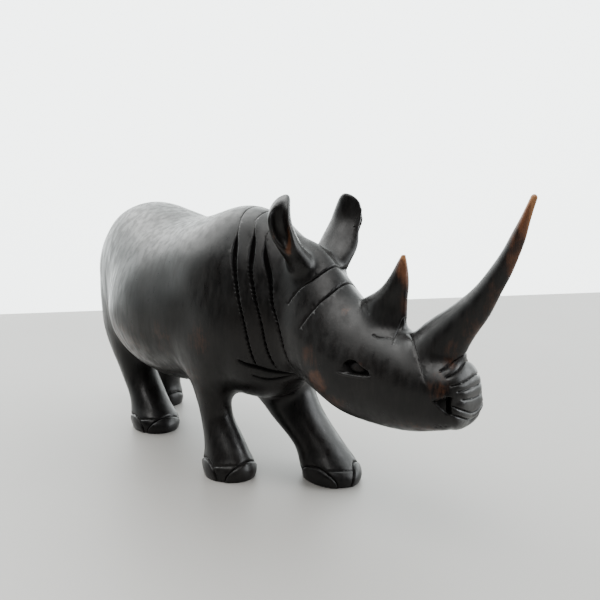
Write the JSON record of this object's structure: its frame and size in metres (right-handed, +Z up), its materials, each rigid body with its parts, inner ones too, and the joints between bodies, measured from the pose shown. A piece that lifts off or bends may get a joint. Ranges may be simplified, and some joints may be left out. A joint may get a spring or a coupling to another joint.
{
  "type": "carved wood rhinoceros sculpture",
  "caption": "Standing rhinoceros figure carved in one piece from dark polished wood, in a walking pose with two horns and grooved neck folds.",
  "frame": {"origin": "centre of the bounding box's bottom face, on the plane of the four flat soles", "axes": "+X forwards, towards the horns, +Y towards the animal's left side, +Z up"},
  "size_m": [0.3008, 0.09, 0.1434],
  "materials": {
    "dark_wood": "near-black stained hardwood rubbed to a satin polish, reddish brown where it is worn at horn tips, ear rims and belly"
  },
  "bodies": {
    "root": {"rhinoceros": "dark_wood"}
  },
  "joints": []
}
